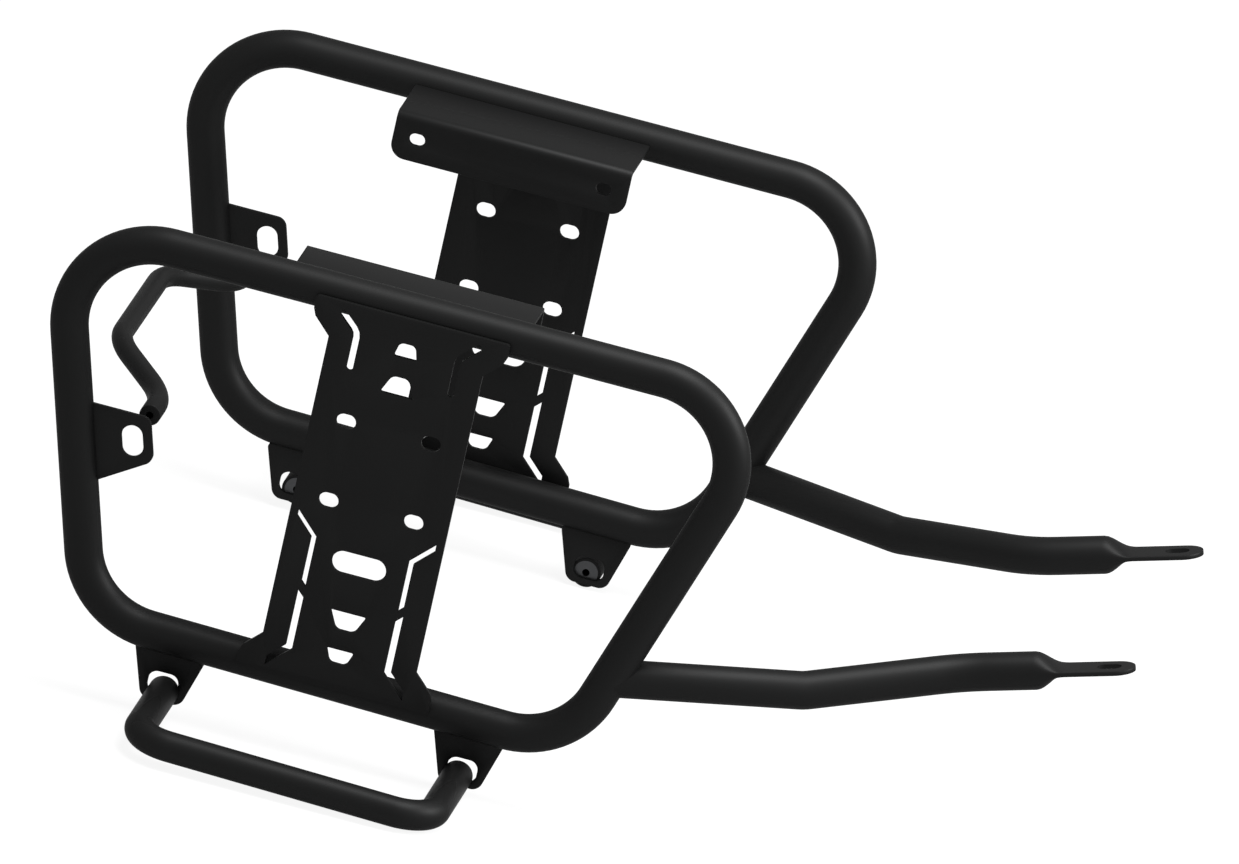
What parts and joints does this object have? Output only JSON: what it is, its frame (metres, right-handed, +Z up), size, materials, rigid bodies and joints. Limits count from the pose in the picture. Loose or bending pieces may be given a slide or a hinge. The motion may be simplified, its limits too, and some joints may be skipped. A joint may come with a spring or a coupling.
{
  "type": "pannier frame",
  "caption": "Pair of tubular steel pannier frames for a motorcycle, with slotted mounting plates, U-shaped carrier bars, forward arms and a rear cross brace.",
  "frame": {"origin": "centre of the bounding box in X and Y, at the lowest point of the carrier bars", "axes": "+X forward on the motorcycle, +Y to its left, +Z up"},
  "size_m": [0.7238, 0.666, 0.3198],
  "materials": {
    "black_powder_coat": "satin",
    "zinc_steel": "satin"
  },
  "bodies": {
    "root": {"right_loop_tube": "black_powder_coat", "right_mounting_plate": "black_powder_coat", "right_angle_bracket": "black_powder_coat", "right_rear_tab": "black_powder_coat", "right_lower_tab_rear": "black_powder_coat", "right_lower_tab_front": "black_powder_coat", "right_forward_arm": "black_powder_coat", "right_carrier_bar": "black_powder_coat", "right_bar_plug_rear": "zinc_steel", "right_bar_plug_front": "zinc_steel", "left_loop_tube": "black_powder_coat", "left_mounting_plate": "black_powder_coat", "left_angle_bracket": "black_powder_coat", "left_rear_tab": "black_powder_coat", "left_lower_tab_rear": "black_powder_coat", "left_lower_tab_front": "black_powder_coat", "left_forward_arm": "black_powder_coat", "left_carrier_bar": "black_powder_coat", "left_bar_plug_rear": "zinc_steel", "left_bar_plug_front": "zinc_steel", "rear_brace": "black_powder_coat"}
  },
  "joints": []
}
